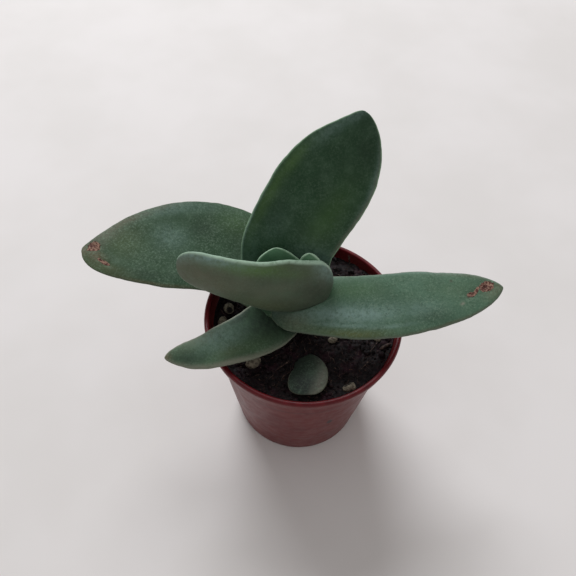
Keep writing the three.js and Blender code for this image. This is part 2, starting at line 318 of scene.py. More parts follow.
def cut(made, cutters):
    """Takes the cutters' room out of a closed piece and keeps its largest body."""
    for cutter in cutters:
        modifier = made.modifiers.new("cut", "BOOLEAN")
        modifier.operation = "DIFFERENCE"
        modifier.solver = "MANIFOLD"
        modifier.object = cutter
    bpy.context.view_layer.update()
    graph = bpy.context.evaluated_depsgraph_get()
    result = bpy.data.meshes.new_from_object(made.evaluated_get(graph), depsgraph=graph)
    made.modifiers.clear()
    old = made.data
    made.data = result
    result.name = made.name
    bpy.data.meshes.remove(old)
    keep_largest(made)
    made.data.shade_smooth()
    made.data.set_sharp_from_angle(angle=math.radians(SHARP_ANGLE))
    return made


def keep_largest(made):
    """Deletes every connected body of a mesh but the one with the most points."""
    work = bmesh.new()
    work.from_mesh(made.data)
    work.verts.ensure_lookup_table()
    seen = set()
    bodies = []
    for start in work.verts:
        if start.index in seen:
            continue
        body = [start]
        seen.add(start.index)
        for vertex in body:
            for edge in vertex.link_edges:
                other = edge.other_vert(vertex)
                if other.index not in seen:
                    seen.add(other.index)
                    body.append(other)
        bodies.append(body)
    bodies.sort(key=len)
    for body in bodies[:-1]:
        bmesh.ops.delete(work, geom=body, context="VERTS")
    work.to_mesh(made.data)
    work.free()


def removed(objects):
    for made in objects:
        bpy.data.objects.remove(made)


def finished(made, material, slot, *nodes):
    """Gives a piece its material and its body, and hides the solids that it stands for. The slot is not used.
    """
    made.data.materials.clear()
    made.data.materials.append(material)
    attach(made, "root")
    if nodes:
        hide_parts(*nodes)
    return made


# Materials


def colour(red, green, blue):
    """A display colour, 0 to 255, as the linear colour that a shader takes."""
    srgb = [c / 255 for c in (red, green, blue)]
    return [c / 12.92 if c <= 0.04045 else ((c + 0.055) / 1.055) ** 2.4 for c in srgb] + [1.0]


class Shader:
    """A material's node tree, with short calls for the nodes that the materials share."""

    def __init__(self, name):
        self.material = bpy.data.materials.new(name)
        self.material.use_nodes = True
        self.tree = self.material.node_tree
        self.tree.nodes.clear()
        self.place = self.add("ShaderNodeTexCoord").outputs["Object"]

    def add(self, kind, inputs=None, **settings):
        node = self.tree.nodes.new(kind)
        for key, value in settings.items():
            setattr(node, key, value)
        for key, value in (inputs or {}).items():
            if isinstance(value, bpy.types.NodeSocket):
                self.tree.links.new(value, node.inputs[key])
            else:
                node.inputs[key].default_value = value
        return node

    def attribute(self, name):
        return self.add("ShaderNodeAttribute", attribute_name=name).outputs["Fac"]

    def noise(self, size, detail=3.0, roughness=0.55):
        """Noise with features of about size millimetres, in 0..1."""
        inputs = {"Vector": self.place, "Scale": 1 / (size * MM), "Detail": detail, "Roughness": roughness}
        return self.add("ShaderNodeTexNoise", inputs).outputs["Fac"]

    def cells(self, size):
        """Distance from the nearest of points about size millimetres apart, in cells."""
        inputs = {"Vector": self.place, "Scale": 1 / (size * MM)}
        return self.add("ShaderNodeTexVoronoi", inputs).outputs["Distance"]

    def span(self, value, low, high, to_low=0.0, to_high=1.0):
        """A value's smooth run from to_low to to_high while it goes from low to high."""
        inputs = {"Value": value, "From Min": low, "From Max": high, "To Min": to_low, "To Max": to_high}
        node = self.add("ShaderNodeMapRange", inputs, interpolation_type="SMOOTHSTEP")
        return node.outputs["Result"]

    def math(self, operation, a, b=0.0):
        return self.add("ShaderNodeMath", {0: a, 1: b}, operation=operation).outputs[0]

    def product(self, a, b):
        return self.math("MULTIPLY", a, b)

    def mix(self, factor, a, b):
        """Colour a with colour b laid over it by factor. Sockets 6, 7 and 2 are the node's colour ones."""
        node = self.add("ShaderNodeMix", {0: factor, 6: a, 7: b}, data_type="RGBA")
        return node.outputs[2]

    def bump(self, height, strength, distance, normal=None):
        inputs = {"Height": height, "Strength": strength, "Distance": distance * MM}
        if normal:
            inputs["Normal"] = normal
        return self.add("ShaderNodeBump", inputs).outputs["Normal"]

    def finish(self, base, roughness, normal, **constants):
        inputs = {"Base Color": base, "Roughness": roughness, "Normal": normal}
        inputs.update({key.replace("_", " "): value for key, value in constants.items()})
        surface = self.add("ShaderNodeBsdfPrincipled", inputs)
        self.add("ShaderNodeOutputMaterial", {"Surface": surface.outputs["BSDF"]})
        return self.material


# Tints that marks on a leaf give its skin. Olive and brown are the leaf's own stains and blush is mostly its
# own pale tint. The bright green is painted light that shines through thin edges and onto lit patches, and
# dark is painted shade.
STAINS_PAINTED_LIGHT_AND_SHADE = {
    "olive": colour(94, 100, 56),
    "painted_light": colour(84, 118, 56),
    "dark": colour(24, 36, 28),
    "brown": colour(104, 88, 66),
    "blush": colour(142, 138, 124),
}
DEEP_GREEN = colour(38, 62, 42)
GREY_GREEN = colour(84, 112, 88)
BLOOM = colour(124, 148, 126)
# Pale haze is the leaf's bloom and, along some margins, a painted highlight
PALE_HAZE_AND_HIGHLIGHT = colour(136, 164, 158)
RUST_DARK = colour(84, 44, 36)
RUST_PALE = colour(158, 124, 106)
SPOT_RED = colour(62, 20, 18)
# The inner leaves' green is made lighter as painted light, for light that shines through them and bounces
# between leaves
INNER_GREEN_WITH_PAINTED_LIGHT = (110, 154, 120)
INNER_MARGIN = (176, 206, 178)

# Each leaf's skin: colours of the upper face, the lower face and the margin, the margin's width in
# millimetres, and how strong the pale bloom is
SKINS = {
    "leaf_old": ((40, 48, 44), (40, 48, 44), (92, 94, 80), 0.3, 0.45),
    "leaf_low": ((84, 116, 86), (62, 76, 56), (126, 130, 114), 0.5, 0.5),
    "leaf_left": ((45, 75, 49), (48, 68, 46), (86, 96, 76), 0.3, 0.5),
    "leaf_right": ((80, 113, 91), (78, 88, 56), (106, 118, 102), 0.4, 0.5),
    "leaf_back": ((35, 69, 42), (42, 66, 42), (134, 166, 134), 0.4, 0.2),
    "leaf_front": ((104, 134, 114), (95, 105, 86), (158, 184, 162), 0.5, 0.15),
    "leaf_inner_left": (INNER_GREEN_WITH_PAINTED_LIGHT, INNER_GREEN_WITH_PAINTED_LIGHT, INNER_MARGIN, 0.5, 0.2),
    "leaf_inner_right": (INNER_GREEN_WITH_PAINTED_LIGHT, INNER_GREEN_WITH_PAINTED_LIGHT, INNER_MARGIN, 0.5, 0.2),
}


def leaf_material(leaf):
    """Fleshy leaf skin: mottled bloom, velvety papillae, pale margins, stains, painted light and shade, and
    dry scars.
    """
    *tints, edge, bloom = SKINS[leaf]
    upper, lower, margin = [colour(*tint) for tint in tints]
    s = Shader(leaf.replace("leaf", "leaf_skin"))
    base = s.mix(s.span(s.attribute("upper"), -0.25, 0.25), lower, upper)
    base = s.mix(s.span(s.noise(9, 2), 0.3, 0.7, 0.0, 0.35), base, DEEP_GREEN)
    base = s.mix(s.span(s.noise(3.2, 3), 0.4, 0.75, 0.0, 0.3), base, GREY_GREEN)
    torn = s.span(s.noise(1.3, 4, 0.65), 0.2, 0.6, 0.7, 1.0)
    # Stains, painted light and painted shade from the marks, each broken up by noise
    for kind, tint in STAINS_PAINTED_LIGHT_AND_SHADE.items():
        base = s.mix(s.product(s.attribute(kind), torn), base, tint)
    # Pale haze: bloom, and along some margins a painted highlight
    haze_and_highlight_mask = s.product(s.attribute("haze_and_highlight"), s.span(s.noise(1.1, 5, 0.7), 0.25, 0.62, 0.3, 1.0))
    base = s.mix(haze_and_highlight_mask, base, PALE_HAZE_AND_HIGHLIGHT)
    patches = s.span(s.noise(6, 3, 0.6), 0.3, 0.7, 0.35, 1.0)
    # The bloom is dimmed where the dark marks paint shade
    patches = s.product(patches, s.span(s.attribute("dark"), 0.1, 0.9, 1.0, 0.15))
    flecks = s.product(s.span(s.noise(0.55, 3, 0.7), 0.44, 0.7, 0.0, bloom), patches)
    base = s.mix(flecks, base, BLOOM)
    pits = s.product(s.span(s.noise(0.7, 3, 0.7), 0.48, 0.32, 0.0, bloom), patches)
    base = s.mix(pits, base, DEEP_GREEN)
    tips = s.span(s.cells(0.26), 0.05, 0.45, 1.0, 0.0)
    base = s.mix(s.product(s.product(tips, patches), 0.5 * bloom), base, BLOOM)
    rim = s.span(s.attribute("rim"), 0.2 * edge, 1.3 * edge, 1.0, 0.0)
    rim = s.product(rim, s.span(s.noise(1.4, 4), 0.25, 0.55, 0.35, 0.9))
    base = s.mix(rim, base, margin)
    ragged = s.math("ADD", s.attribute("scar"), s.product(s.noise(0.8, 4, 0.7), 0.9))
    crust = s.span(ragged, 0.85, 1.0)
    base = s.mix(crust, base, s.mix(s.span(s.noise(0.6, 3), 0.42, 0.58), RUST_DARK, RUST_PALE))
    base = s.mix(s.attribute("spot"), base, SPOT_RED)
    papillae = s.bump(tips, 0.3, 0.1)
    normal = s.bump(s.noise(1.1, 4, 0.6), 0.2, 0.2, papillae)
    normal = s.bump(s.product(crust, s.noise(0.4, 3)), 0.8, 0.4, normal)
    roughness = s.span(s.noise(3, 3), 0.3, 0.7, 0.5, 0.66)
    return s.finish(
        base,
        roughness,
        normal,
        Specular_IOR_Level=0.25,
        Sheen_Weight=0.06,
        Sheen_Roughness=0.4,
        Sheen_Tint=(0.72, 0.86, 0.78, 1.0),
    )


# Faint dark rings on the pot's wall: height in millimetres and strength. The ring just under the collar is
# painted shade beneath its overhang; the others are faint moulding lines.
FAINT_RINGS = {COLLAR_Z - 1.2: 0.6, 36.6: 0.4, 20.6: 0.35, STACKING_RING_Z: 0.4}
# Height of a slight step in the pot's wall
WALL_STEP_Z = 30.5
# One small dark spot on the pot's wall, and how space is pressed along each axis so that the spot is tall
SPOT_AT = np.array([8.9, -21.1, 24.7])
SPOT_SHAPE = np.array([1, 1, 0.55])


def pot_material():
    """Red-brown moulded plastic: satin on the wall, dark inside and deep red on the lip."""
    s = Shader("pot_plastic_moulded")
    wall = s.mix(s.span(s.noise(9, 3), 0.3, 0.7), colour(94, 26, 28), colour(104, 37, 37))
    wall = s.mix(s.span(s.noise(5, 3, 0.5), 0.4, 0.75, 0.0, 0.2), wall, colour(122, 56, 52))
    height = s.add("ShaderNodeSeparateXYZ", {0: s.place}).outputs["Z"]
    # The ring just under the collar is painted shade
    for ring_z, strength in FAINT_RINGS.items():
        away = s.math("ABSOLUTE", s.math("SUBTRACT", height, ring_z * MM))
        streak = s.span(away, 0.1 * MM, 0.7 * MM, strength, 0.0)
        streak = s.product(streak, s.span(s.noise(9, 2), 0.3, 0.6, 0.4, 1.0))
        wall = s.mix(streak, wall, colour(40, 12, 18))
    lip = s.mix(s.span(s.noise(3, 3), 0.35, 0.65), colour(84, 4, 14), colour(102, 10, 20))
    base = s.mix(s.attribute("lip"), wall, lip)
    inside = s.mix(s.span(s.noise(2, 4), 0.35, 0.65), colour(58, 20, 24), colour(34, 16, 18))
    base = s.mix(s.attribute("inside"), base, inside)
    dust = s.span(s.noise(1.6, 4, 0.6), 0.55, 0.75, 0.0, 0.06)
    base = s.mix(dust, base, colour(140, 110, 104))
    pressed = s.add("ShaderNodeVectorMath", {0: s.place, 1: SPOT_SHAPE}, operation="MULTIPLY")
    spot = {0: pressed.outputs["Vector"], 1: SPOT_AT * SPOT_SHAPE * MM}
    from_spot = s.add("ShaderNodeVectorMath", spot, operation="DISTANCE").outputs["Value"]
    base = s.mix(s.span(from_spot, 0.65 * MM, 1.1 * MM, 1.0, 0.0), base, colour(26, 0, 2))
    normal = s.bump(s.noise(0.5, 3), 0.06, 0.05)
    normal = s.bump(s.noise(14, 2), 0.06, 0.5, normal)
    roughness = s.span(s.noise(2.5, 4), 0.3, 0.7, 0.34, 0.46)
    return s.finish(base, roughness, normal, Specular_IOR_Level=0.3)


def soil_material(name, dark, light, warm, fleck):
    """Moist peat: near black, with brown crumbs and a purplish cast."""
    s = Shader(name)
    base = s.mix(s.span(s.noise(0.9, 4, 0.65), 0.45, 0.72), dark, light)
    base = s.mix(s.span(s.noise(4, 3), 0.5, 0.7, 0.0, 0.6), base, warm)
    base = s.mix(s.span(s.noise(0.4, 2), 0.66, 0.75), base, fleck)
    normal = s.bump(s.noise(0.3, 4, 0.7), 0.7, 0.2)
    roughness = s.span(s.noise(0.8, 3), 0.35, 0.7, 0.62, 0.95)
    return s.finish(base, roughness, normal, Specular_IOR_Level=0.3)


def grain_material():
    """Rough pale mineral, darker in its hollows."""
    s = Shader("pale_grain_mineral")
    base = s.mix(s.span(s.noise(0.8, 4), 0.35, 0.65), colour(146, 138, 120), colour(96, 88, 74))
    base = s.mix(s.span(s.attribute("hollow"), 0.1, 0.6), base, colour(26, 20, 18))
    base = s.mix(s.span(s.noise(0.35, 3), 0.55, 0.68), base, colour(54, 44, 38))
    normal = s.bump(s.noise(0.25, 4, 0.7), 0.6, 0.15)
    return s.finish(base, s.span(s.noise(0.5, 2), 0.3, 0.7, 0.7, 0.95), normal, Specular_IOR_Level=0.4)


def stem_material():
    """Green stem with brown leaf scars and fine lengthwise wrinkles."""
    s = Shader("stem_skin_scarred")
    base = s.mix(s.span(s.noise(1.5, 4), 0.35, 0.65), colour(104, 112, 76), colour(82, 92, 60))
    base = s.mix(s.attribute("scar"), base, colour(104, 82, 58))
    base = s.mix(s.span(s.noise(0.5, 3), 0.58, 0.7), base, colour(60, 50, 36))
    normal = s.bump(s.noise(0.6, 4), 0.5, 0.3)
    return s.finish(base, s.span(s.noise(1, 2), 0.3, 0.7, 0.6, 0.8), normal, Specular_IOR_Level=0.3)


# Leaves


def leaf_grid(leaf, steps, sides, grow=0.0):
    """Points of a leaf ring by ring, with each point's place on the leaf."""
    t = 1 - (1 - np.linspace(0, 1, steps)) ** 1.25
    at = np.clip(t, 0.003, 0.997)
    step = 0.0001
    centre = spline(leaf["midline"], at)
    along = unit(spline(leaf["midline"], at + step) - spline(leaf["midline"], at - step))
    at = at[:, None]
    face = np.array(leaf["face"][0]) * (1 - at) + np.array(leaf["face"][1]) * at
    face = unit(face - along * (face * along).sum(1, keepdims=True))
    side = np.cross(along, face)
    base = np.sqrt(1 - (1 - np.minimum(at / LEAF_BASE_LENGTH, 1)) ** 2)
    tip_length, tip_bluntness = leaf["tip"]
    taper = (1 - at**tip_length) ** tip_bluntness
    right = spline(leaf["right"], at[:, 0])[:, None] * taper * base + grow
    left = spline(leaf["left"], at[:, 0])[:, None] * taper * base + grow
    thick = leaf["thick"] * (1.15 - 0.55 * at) * np.sqrt(1 - at**8) * base
    angle = 2 * np.pi * np.arange(sides) / sides
    c, s = np.cos(angle)[None, :], np.sin(angle)[None, :]
    half = np.where(c > 0, right, left)
    across = np.sign(c) * np.abs(c) ** SECTION_POWER
    bulge = np.where(s > 0, UPPER_SHARE, 1 - UPPER_SHARE) * thick + grow
    rise = bulge * np.sign(s) * np.abs(s) ** SECTION_POWER + leaf["cup"] * half * across**2
    points = centre[:, None] + side[:, None] * (half * across)[..., None] + face[:, None] * rise[..., None]
    return {
        "points": points,
        "face": np.repeat(face[:, None], sides, axis=1),
        "side": np.repeat(side[:, None], sides, axis=1),
        "at": np.repeat(at, sides, axis=1),
        "across": np.repeat(across, steps, axis=0),
        "half": half,
        "upper": np.repeat(s, steps, axis=0),
        "ends": spline(leaf["midline"], np.array([0.0, 1.0])),
    }


# Marks on a leaf: kind, place along it from 0 to 1 and across it from -1 to 1, length and width in
# millimetres, turn, strength, and 1 for the upper face or -1 for the lower one
# Dark marks are painted shade and bright marks painted light. Haze marks are bloom, and some noted below are
# painted light
MARKS = {
    "leaf_old": [
        # The dark marks paint the shade on this leaf's shaded side, and the blush marks are its pale margin
        # made lighter as painted light on its lit side
        ("dark", 0.7, 0.55, 16, 8, 0.0, 0.6, 1),
        ("dark", 0.92, -0.05, 9, 6, 0.0, 0.6, 1),
        ("blush", 0.82, -0.75, 11, 3.6, 0.2, 0.4, 1),
        ("blush", 0.93, -0.85, 6, 2.6, 0.3, 0.5, 1),
        ("dark", 0.5, 0.0, 8, 9, 0.0, 0.7, 1),
    ],
    "leaf_low": [
        ("haze_and_highlight", 0.6, 0.45, 13, 7, 0.2, 0.55, 1),
        ("blush", 0.72, 0.85, 14, 4, 0.0, 0.4, 1),
        ("dark", 0.84, -0.3, 14, 5, 0.0, 0.75, 1),
        ("olive", 0.55, -0.45, 8, 4, 0.0, 0.4, 1),
        ("painted_light", 0.36, -0.5, 11, 5, 0.0, 0.3, 1),
        ("dark", 0.18, 0.1, 26, 18, 0.0, 0.95, 1),
        ("dark", 0.36, 0.85, 13, 7, 0.0, 0.9, 1),
        ("dark", 0.48, -0.75, 16, 5, 0.0, 0.45, 1),
        ("blush", 0.62, -0.92, 26, 1.6, 0.0, 0.75, 1),
        ("blush", 0.62, -0.92, 26, 2.4, 0.0, 0.75, -1),
        ("brown", 0.98, 0.0, 2.4, 3, 0.0, 0.7, 1),
    ],
    "leaf_left": [
        ("scar", 0.945, 0.24, 4.0, 3.4, 0.3, 1.1, 1),
        ("scar", 0.908, -0.53, 4.6, 1.3, 0.45, 1.0, 1),
        ("brown", 0.935, -0.3, 4, 2.6, 0.3, 0.8, 1),
        ("olive", 0.9, -0.78, 12, 4, 0.1, 0.6, 1),
        ("brown", 0.7, -0.97, 24, 1.0, 0.0, 0.5, 1),
        ("brown", 0.79, 0.88, 13, 2.4, 0.0, 0.55, 1),
        ("brown", 0.65, 0.93, 9, 1.8, 0.0, 0.4, 1),
        ("haze_and_highlight", 0.62, 0.2, 10, 7, 0.3, 0.35, 1),
        ("haze_and_highlight", 0.6, 0.85, 22, 4, 0.0, 0.3, 1),
        ("olive", 0.82, 0.2, 12, 11, 0.0, 0.3, 1),
        ("dark", 0.47, 0.35, 9, 7, 0.4, 0.35, 1),
        ("painted_light", 0.36, 0.62, 10, 9, 0.0, 0.3, 1),
        ("dark", 0.72, -0.78, 18, 3.4, 0.0, 0.35, 1),
        ("dark", 0.87, -0.85, 13, 4, 0.0, 0.4, 1),
        ("dark", 0.94, -0.55, 8, 6, 0.0, 0.4, 1),
        ("olive", 0.95, -0.6, 8, 7, 0.0, 0.6, 1),
        ("blush", 0.92, 0.75, 13, 6, 0.0, 0.4, 1),
        ("dark", 0.33, 0.3, 9, 8, 0.0, 0.3, 1),
        ("brown", 0.99, 0.0, 2, 3, 0.0, 0.6, 1),
    ],
    "leaf_right": [
        ("haze_and_highlight", 0.32, 0.3, 24, 4.6, 0.0, 0.85, 1),
        ("haze_and_highlight", 0.75, -0.98, 40, 1.0, 0.0, 0.5, 1),
        ("dark", 0.02, 0.4, 9, 12, 0.0, 0.6, 1),
        ("haze_and_highlight", 0.3, 0.64, 16, 1.0, 0.0, 0.7, 1),
        ("haze_and_highlight", 0.47, 0.7, 12, 0.9, 0.0, 0.5, 1),
        ("olive", 0.33, 0.88, 18, 2.6, 0.0, 0.8, 1),
        ("olive", 0.33, 0.95, 18, 4, 0.0, 0.8, -1),
        ("brown", 0.75, 0.98, 34, 1.0, 0.0, 0.5, 1),
        ("brown", 0.86, -0.95, 18, 1.6, 0.0, 0.5, 1),
        ("olive", 0.79, -0.15, 14, 7, 0.0, 0.12, 1),
        ("brown", 0.95, 0.35, 6, 5, 0.0, 0.45, 1),
        ("dark", 0.67, 0.62, 16, 4, 0.0, 0.3, 1),
        ("haze_and_highlight", 0.6, 0.3, 14, 4, 0.0, 0.3, 1),
        ("painted_light", 0.33, -0.5, 16, 5, 0.0, 0.25, 1),
        ("brown", 0.12, 0.6, 8, 7, 0.0, 0.4, 1),
        ("scar", 0.848, 0.14, 3.0, 1.5, 0.1, 1.0, 1),
        ("scar", 0.875, 0.0, 4.4, 1.0, -0.7, 1.0, 1),
        ("scar", 0.925, -0.2, 4.8, 3.0, -0.4, 1.15, 1),
        ("spot", 0.836, 0.2, 1.3, 0.8, -0.2, 0.8, 1),
        ("spot", 0.918, -0.18, 1.6, 1.0, 0.0, 1.0, 1),
        ("spot", 0.777, -0.59, 0.8, 0.6, 0.0, 0.7, 1),
        ("blush", 0.801, 0.42, 1.1, 0.7, 0.0, 1.0, 1),
        ("brown", 0.98, 0.0, 3, 5, 0.0, 0.5, 1),
    ],
    "leaf_back": [
        ("painted_light", 0.49, -0.86, 18, 3, 0.0, 0.45, 1),
        ("painted_light", 0.66, -0.84, 14, 3, 0.0, 0.5, 1),
        ("haze_and_highlight", 0.88, -0.75, 12, 4, 0.0, 0.3, 1),
        ("haze_and_highlight", 0.96, -0.8, 7, 5, 0.0, 0.35, 1),
        # Painted light on the base, lifting its shade
        ("haze_and_highlight", 0.26, 0.6, 13, 13, 0.0, 0.45, 1),
        ("haze_and_highlight", 0.27, -0.8, 10, 6, 0.0, 0.2, 1),
        ("dark", 0.86, 0.5, 14, 8, 0.0, 0.35, 1),
        ("painted_light", 0.52, 0.42, 18, 7, 0.0, 0.3, 1),
        ("haze_and_highlight", 0.38, -0.4, 9, 7, 0.0, 0.12, 1),
        # Painted highlight along the lit edge, on both faces
        ("haze_and_highlight", 0.3, -1.0, 26, 0.9, 0.0, 1.0, 1),
        ("haze_and_highlight", 0.3, -1.0, 26, 0.9, 0.0, 1.0, -1),
        ("blush", 0.6, 0.96, 30, 1.0, 0.0, 0.4, 1),
        ("haze_and_highlight", 0.74, 0.92, 16, 1.6, 0.0, 0.25, 1),
    ],
    "leaf_front": [
        ("painted_light", 0.62, -0.82, 18, 3.2, 0.0, 0.85, -1),
        ("painted_light", 0.4, -0.7, 20, 3.0, 0.0, 0.35, -1),
        # Painted highlight along the top margin, on both faces
        ("haze_and_highlight", 0.83, -0.95, 15, 3.2, 0.0, 0.95, -1),
        ("haze_and_highlight", 0.83, -0.97, 14, 2.4, 0.0, 0.8, 1),
        ("haze_and_highlight", 0.06, -0.85, 7, 6, 0.0, 0.6, -1),
        ("haze_and_highlight", 0.06, -0.85, 7, 6, 0.0, 0.4, 1),
        ("haze_and_highlight", 0.96, -0.8, 6, 4, 0.0, 0.4, -1),
        ("dark", 0.22, 0.7, 14, 9, 0.0, 0.45, -1),
        ("brown", 0.85, 0.1, 16, 10, 0.0, 0.3, -1),
        ("dark", 0.14, 0.15, 12, 15, 0.3, 0.55, -1),
        ("olive", 0.42, 0.6, 14, 5, 0.0, 0.3, -1),
    ],
}
MARK_KINDS = (*STAINS_PAINTED_LIGHT_AND_SHADE, "haze_and_highlight", "scar", "spot")


def leaf_marks(name, grid):
    """How strong each kind of mark is at each point."""
    found = {kind: np.zeros(grid["at"].shape) for kind in MARK_KINDS}
    midline = spline(LEAVES[name]["midline"], np.linspace(0, 1, 60))
    length = np.linalg.norm(np.diff(midline, axis=0), axis=1).sum()
    for kind, at, across, long, wide, turn, strength, upper in MARKS.get(name, []):
        x = (grid["at"] - at) * length
        y = (grid["across"] - across) * grid["half"]
        u = (x * math.cos(turn) + y * math.sin(turn)) / (long / 2)
        v = (y * math.cos(turn) - x * math.sin(turn)) / (wide / 2)
        on_side = smoothstep(grid["upper"] * upper, -0.3, 0.1)
        mark = strength * np.exp(-(u**2 + v**2)) * on_side
        found[kind] = np.maximum(found[kind], mark)
    return found


def leaf_object(name, seed):
    """A leaf's blade with its low swells, wavering margins and sunken scars."""
    grid = leaf_grid(LEAVES[name], LEAF_STEPS, LEAF_SIDES)
    points = grid["points"]
    marks = leaf_marks(name, grid)
    inside = np.sqrt(np.clip(grid["half"] / 3, 0, 1))
    swell = 0.22 * noise(points, 11, seed) + 0.07 * noise(points, 3.6, seed + 1)
    swell = swell + 0.025 * noise(points, 1.3, seed + 2)
    ridge = 0.2 * noise(points, 0.7, seed + 3) * np.clip(marks["scar"], 0, 1)
    scarred = (ridge - 0.3 * marks["scar"]) * np.sign(grid["upper"])
    shift = swell * inside * (1 - 0.65 * grid["across"] ** 2) + scarred
    waver = 0.1 * noise(points, 2.6, seed + 4) + 0.04 * noise(points, 0.9, seed + 5)
    points = points + grid["face"] * shift[..., None] + grid["side"] * (waver * grid["across"])[..., None]
    values = {
        "upper": grid["upper"],
        "rim": grid["half"] * (1 - np.abs(grid["across"])),
        **marks,
    }
    flat = {}
    for key, numbers in values.items():
        flat[key] = np.concatenate([numbers.ravel(), [numbers[0].mean(), numbers[-1].mean()]])
    everything = np.concatenate([points.reshape(-1, 3), grid["ends"]])
    made = mesh_object(name + "_blade", everything, ring_faces(LEAF_STEPS, LEAF_SIDES), flat)
    return face_out(made)


def leaf_cutter(name):
    """The room that a leaf needs in the older leaves and in the soil."""
    grid = leaf_grid(LEAVES[name], ROOM_STEPS, ROOM_SIDES, GAP)
    everything = np.concatenate([grid["points"].reshape(-1, 3), grid["ends"]])
    return face_out(mesh_object("room_" + name, everything, ring_faces(ROOM_STEPS, ROOM_SIDES)))


# Stem

# Radius and height
STEM_PROFILE = [
    (0, STEM_ROOT_Z),
    (1.0, STEM_ROOT_Z + 1),
    (2.2, STEM_ROOT_Z + 8),
    (STEM_RADIUS - 0.5, SOIL_Z - 3),
    (STEM_RADIUS, SOIL_Z + 2),
    (STEM_RADIUS + 0.5, STEM_TOP_Z - 12),
    (STEM_RADIUS, STEM_TOP_Z - 7),
    (2.4, STEM_TOP_Z - 3),
    (1.1, STEM_TOP_Z - 0.6),
    (0, STEM_TOP_Z),
]
# Heights of the rings that shed leaves have left
STEM_SCARS = (44.6, 47.2, 50.1, 53.4)


def stem_object(name, grow=0.0, fine=True):
    """The stem with its leaf scars or, where it isn't fine, the plain room that it needs."""
    profile = np.array(STEM_PROFILE, float)
    z = np.linspace(profile[0, 1], profile[-1, 1], 140 if fine else 40)
    radius = np.interp(z, profile[:, 1], profile[:, 0]) + grow
    scar = sum(np.exp(-(((z - ring) / 0.45) ** 2)) for ring in STEM_SCARS)
    if fine:
        radius = radius + 0.14 * scar - 0.1
    radius[0] = radius[-1] = 0
    sides = 72 if fine else 32
    rings, ends = turned_points(np.stack([radius, z], -1), sides, STEM_CENTRE)
    if fine:
        out = rings - np.array([*STEM_CENTRE, 0])
        out[..., 2] = 0
        rings = rings + unit(out) * (0.09 * noise(rings * [1, 1, 0.35], 1.2, 71) - 0.05)[..., None]
    everything = np.concatenate([rings.reshape(-1, 3), ends])
    values = {"scar": np.concatenate([np.repeat(scar[1:-1], sides), [0, 0]])}
    return face_out(mesh_object(name, everything, ring_faces(len(rings), sides), values))


# Pot


def rounded(profile, radius, steps=5):
    """A profile with its corners rounded off, as far as its short edges allow."""
    profile = np.asarray(profile, float)
    made = [profile[0]]
    for before, corner, after in zip(profile, profile[1:], profile[2:]):
        back, ahead = before - corner, after - corner
        reach = min(radius, 0.45 * np.linalg.norm(back), 0.45 * np.linalg.norm(ahead))
        start, end = corner + unit(back) * reach, corner + unit(ahead) * reach
        for t in np.linspace(0, 1, steps):
            made.append((1 - t) ** 2 * start + 2 * t * (1 - t) * corner + t**2 * end)
    made.append(profile[-1])
    return np.array(made)


def divided(profile, step):
    """A profile whose long edges are cut into steps."""
    made = [profile[0]]
    for a, b in zip(profile, profile[1:]):
        pieces = max(1, int(np.linalg.norm(b - a) // step))
        made.extend(a + (b - a) * (k + 1) / pieces for k in range(pieces))
    return np.array(made)


def wall_radius(z):
    """Outer radius of the pot's tapered wall below the collar."""
    return FOOT_RADIUS + (SHOULDER_RADIUS - FOOT_RADIUS) * z / COLLAR_Z


def pot_profile():
    """Radius and height of the pot's section, from the middle of its underside to the middle of its floor."""
    ring_inside = FOOT_RADIUS - FOOT_RING_WIDTH
    outer = [
        (0, 0),
        (PAD_RADIUS, 0),
        (PAD_RADIUS + FOOT_DRAFT, FOOT_RECESS),
        (ring_inside - FOOT_DRAFT, FOOT_RECESS),
        (ring_inside, 0),
        (FOOT_RADIUS - EDGE_ROUNDING, 0),
        (FOOT_RADIUS, EDGE_ROUNDING),
        (wall_radius(STACKING_RING_Z) - STACKING_RING_STEP, STACKING_RING_Z - 0.6),
        (wall_radius(STACKING_RING_Z), STACKING_RING_Z),
        (SHOULDER_RADIUS, COLLAR_Z - 0.3),
        (COLLAR_FOOT_RADIUS - 0.3, COLLAR_Z),
        (COLLAR_FOOT_RADIUS, COLLAR_Z + EDGE_ROUNDING),
        (RIM_RADIUS, POT_HEIGHT - 0.7),
        (RIM_RADIUS - 0.35, POT_HEIGHT - 0.1),
        (RIM_RADIUS - LIP_WIDTH / 2, POT_HEIGHT),
    ]
    inner = [
        (RIM_RADIUS - LIP_WIDTH + 0.2, POT_HEIGHT - 0.15),
        (RIM_RADIUS - LIP_WIDTH, POT_HEIGHT - 0.7),
        (COLLAR_INSIDE_RADIUS, COLLAR_Z + 0.9),
        (SHOULDER_RADIUS - WALL, COLLAR_Z - 0.6),
        (wall_radius(FLOOR_Z) - WALL - FOOT_DRAFT, FLOOR_Z),
        (0, FLOOR_Z),
    ]
    return outer + inner


def drain_drills():
    """Plain cylinders where the pot's drain holes are."""
    hole = [(0, -1), (DRAIN_RADIUS, -1), (DRAIN_RADIUS, 3.4), (0, 3.4)]
    sides = 48
    drills = []
    for i in range(DRAIN_HOLES):
        angle = 2 * math.pi * i / DRAIN_HOLES
        at = (DRAIN_CIRCLE * math.cos(angle), DRAIN_CIRCLE * math.sin(angle))
        rings, ends = turned_points(hole, sides, at)
        points = np.concatenate([rings.reshape(-1, 3), ends])
        drills.append(face_out(mesh_object(f"drill_{i}", points, ring_faces(2, sides))))
    return drills


